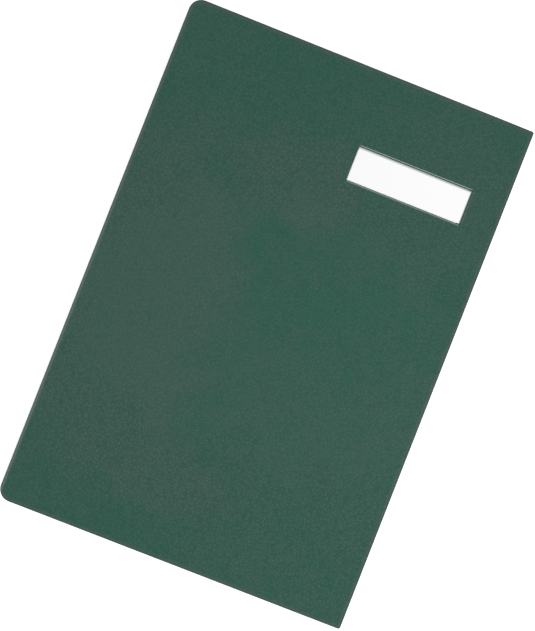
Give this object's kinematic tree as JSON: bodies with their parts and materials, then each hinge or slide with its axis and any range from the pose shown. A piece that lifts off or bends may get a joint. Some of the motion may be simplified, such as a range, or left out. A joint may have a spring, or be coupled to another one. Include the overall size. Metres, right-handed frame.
{
  "type": "stamp album",
  "caption": "Large hard-cover stamp album in green leatherette with a recessed title label, guarded linen-hinged pocket leaves and glassine interleaves.",
  "frame": {"origin": "centre of the back cover's outer face, on which the closed album lies", "axes": "+X from the spine to the fore-edge, +Y from the tail to the head, +Z from the back cover to the front cover"},
  "size_m": [0.24, 0.35, 0.0224],
  "materials": {
    "leatherette": "fine pebble grain, semi-matte",
    "joint_cloth": "woven bookcloth, matte",
    "grey_board": "raw",
    "infill_card": "raw",
    "endpaper": "uncoated",
    "title_label": "smooth, matte",
    "linen": "woven, matte",
    "guard_card": "cut edge, matte",
    "leaf_card": "smooth, matte",
    "pocket_film": "clear, glossy",
    "glassine": "translucent, satin"
  },
  "bodies": {
    "back_cover": {"back_leatherette": "leatherette", "back_board": "grey_board", "back_infill": "infill_card", "back_pastedown": "endpaper", "back_cloth_joint": "joint_cloth"},
    "spine": {"spine_leatherette": "leatherette", "spine_card": "grey_board", "spine_lining": "linen", "guards": "guard_card", "linen_tabs": "linen", "sheet_tabs": "glassine"},
    "front_cover": {"front_leatherette": "leatherette", "front_board": "grey_board", "front_infill": "infill_card", "front_pastedown": "endpaper", "front_cloth_joint": "joint_cloth", "title_label": "title_label"},
    "front_flyleaf": {"front_flyleaf": "endpaper"},
    "leaf_1": {"leaf_1_card": "leaf_card", "leaf_1_linen": "linen", "leaf_1_front_strips": "pocket_film", "leaf_1_back_strips": "pocket_film"},
    "interleaf_1": {"interleaf_1": "glassine"},
    "leaf_2": {"leaf_2_card": "leaf_card", "leaf_2_linen": "linen", "leaf_2_front_strips": "pocket_film", "leaf_2_back_strips": "pocket_film"},
    "interleaf_2": {"interleaf_2": "glassine"},
    "leaf_3": {"leaf_3_card": "leaf_card", "leaf_3_linen": "linen", "leaf_3_front_strips": "pocket_film", "leaf_3_back_strips": "pocket_film"},
    "interleaf_3": {"interleaf_3": "glassine"},
    "leaf_4": {"leaf_4_card": "leaf_card", "leaf_4_linen": "linen", "leaf_4_front_strips": "pocket_film", "leaf_4_back_strips": "pocket_film"},
    "interleaf_4": {"interleaf_4": "glassine"},
    "leaf_5": {"leaf_5_card": "leaf_card", "leaf_5_linen": "linen", "leaf_5_front_strips": "pocket_film", "leaf_5_back_strips": "pocket_film"},
    "interleaf_5": {"interleaf_5": "glassine"},
    "leaf_6": {"leaf_6_card": "leaf_card", "leaf_6_linen": "linen", "leaf_6_front_strips": "pocket_film", "leaf_6_back_strips": "pocket_film"},
    "interleaf_6": {"interleaf_6": "glassine"},
    "leaf_7": {"leaf_7_card": "leaf_card", "leaf_7_linen": "linen", "leaf_7_front_strips": "pocket_film", "leaf_7_back_strips": "pocket_film"},
    "interleaf_7": {"interleaf_7": "glassine"},
    "leaf_8": {"leaf_8_card": "leaf_card", "leaf_8_linen": "linen", "leaf_8_front_strips": "pocket_film", "leaf_8_back_strips": "pocket_film"},
    "back_flyleaf": {"back_flyleaf": "endpaper"}
  },
  "joints": [
    {"name": "spine_hinge", "type": "hinge", "parent": "back_cover", "child": "spine", "pos_m": [-0.12, 0, 0.0033], "axis": [0, -1, 0], "range_deg": [0, 90]},
    {"name": "front_cover_hinge", "type": "hinge", "parent": "spine", "child": "front_cover", "pos_m": [-0.12, 0, 0.01905], "axis": [0, -1, 0], "range_deg": [0, 90]},
    {"name": "front_flyleaf_hinge", "type": "hinge", "parent": "spine", "child": "front_flyleaf", "pos_m": [-0.1113, 0, 0.01858], "axis": [0, -1, 0], "range_deg": [0, 89.4]},
    {"name": "leaf_1_hinge", "type": "hinge", "parent": "spine", "child": "leaf_1", "pos_m": [-0.11095, 0, 0.01765], "axis": [0, -1, 0], "range_deg": [0, 88.4]},
    {"name": "interleaf_1_hinge", "type": "hinge", "parent": "spine", "child": "interleaf_1", "pos_m": [-0.1106, 0, 0.01673], "axis": [0, -1, 0], "range_deg": [0, 87.4]},
    {"name": "leaf_2_hinge", "type": "hinge", "parent": "spine", "child": "leaf_2", "pos_m": [-0.11025, 0, 0.0158], "axis": [0, -1, 0], "range_deg": [0, 86.4]},
    {"name": "interleaf_2_hinge", "type": "hinge", "parent": "spine", "child": "interleaf_2", "pos_m": [-0.1099, 0, 0.01487], "axis": [0, -1, 0], "range_deg": [0, 85.4]},
    {"name": "leaf_3_hinge", "type": "hinge", "parent": "spine", "child": "leaf_3", "pos_m": [-0.10955, 0, 0.01395], "axis": [0, -1, 0], "range_deg": [0, 84.4]},
    {"name": "interleaf_3_hinge", "type": "hinge", "parent": "spine", "child": "interleaf_3", "pos_m": [-0.1092, 0, 0.01303], "axis": [0, -1, 0], "range_deg": [0, 83.4]},
    {"name": "leaf_4_hinge", "type": "hinge", "parent": "spine", "child": "leaf_4", "pos_m": [-0.10885, 0, 0.0121], "axis": [0, -1, 0], "range_deg": [0, 82.4]},
    {"name": "interleaf_4_hinge", "type": "hinge", "parent": "spine", "child": "interleaf_4", "pos_m": [-0.1085, 0, 0.01117], "axis": [0, -1, 0], "range_deg": [-81.4, 0]},
    {"name": "leaf_5_hinge", "type": "hinge", "parent": "spine", "child": "leaf_5", "pos_m": [-0.10885, 0, 0.01025], "axis": [0, -1, 0], "range_deg": [-82.4, 0]},
    {"name": "interleaf_5_hinge", "type": "hinge", "parent": "spine", "child": "interleaf_5", "pos_m": [-0.1092, 0, 0.00932], "axis": [0, -1, 0], "range_deg": [-83.4, 0]},
    {"name": "leaf_6_hinge", "type": "hinge", "parent": "spine", "child": "leaf_6", "pos_m": [-0.10955, 0, 0.0084], "axis": [0, -1, 0], "range_deg": [-84.4, 0]},
    {"name": "interleaf_6_hinge", "type": "hinge", "parent": "spine", "child": "interleaf_6", "pos_m": [-0.1099, 0, 0.00747], "axis": [0, -1, 0], "range_deg": [-85.4, 0]},
    {"name": "leaf_7_hinge", "type": "hinge", "parent": "spine", "child": "leaf_7", "pos_m": [-0.11025, 0, 0.00655], "axis": [0, -1, 0], "range_deg": [-86.4, 0]},
    {"name": "interleaf_7_hinge", "type": "hinge", "parent": "spine", "child": "interleaf_7", "pos_m": [-0.1106, 0, 0.00562], "axis": [0, -1, 0], "range_deg": [-87.4, 0]},
    {"name": "leaf_8_hinge", "type": "hinge", "parent": "spine", "child": "leaf_8", "pos_m": [-0.11095, 0, 0.0047], "axis": [0, -1, 0], "range_deg": [-88.4, 0]},
    {"name": "back_flyleaf_hinge", "type": "hinge", "parent": "spine", "child": "back_flyleaf", "pos_m": [-0.1113, 0, 0.00378], "axis": [0, -1, 0], "range_deg": [-89.4, 0]}
  ],
  "couplings": [
    {"joint": "front_cover_hinge", "follows": "spine_hinge", "ratio": 1},
    {"joint": "front_flyleaf_hinge", "follows": "spine_hinge", "ratio": 0.99333},
    {"joint": "leaf_1_hinge", "follows": "spine_hinge", "ratio": 0.98222},
    {"joint": "interleaf_1_hinge", "follows": "spine_hinge", "ratio": 0.97111},
    {"joint": "leaf_2_hinge", "follows": "spine_hinge", "ratio": 0.96},
    {"joint": "interleaf_2_hinge", "follows": "spine_hinge", "ratio": 0.94889},
    {"joint": "leaf_3_hinge", "follows": "spine_hinge", "ratio": 0.93778},
    {"joint": "interleaf_3_hinge", "follows": "spine_hinge", "ratio": 0.92667},
    {"joint": "leaf_4_hinge", "follows": "spine_hinge", "ratio": 0.91556},
    {"joint": "interleaf_4_hinge", "follows": "spine_hinge", "ratio": -0.90444},
    {"joint": "leaf_5_hinge", "follows": "spine_hinge", "ratio": -0.91556},
    {"joint": "interleaf_5_hinge", "follows": "spine_hinge", "ratio": -0.92667},
    {"joint": "leaf_6_hinge", "follows": "spine_hinge", "ratio": -0.93778},
    {"joint": "interleaf_6_hinge", "follows": "spine_hinge", "ratio": -0.94889},
    {"joint": "leaf_7_hinge", "follows": "spine_hinge", "ratio": -0.96},
    {"joint": "interleaf_7_hinge", "follows": "spine_hinge", "ratio": -0.97111},
    {"joint": "leaf_8_hinge", "follows": "spine_hinge", "ratio": -0.98222},
    {"joint": "back_flyleaf_hinge", "follows": "spine_hinge", "ratio": -0.99333}
  ]
}
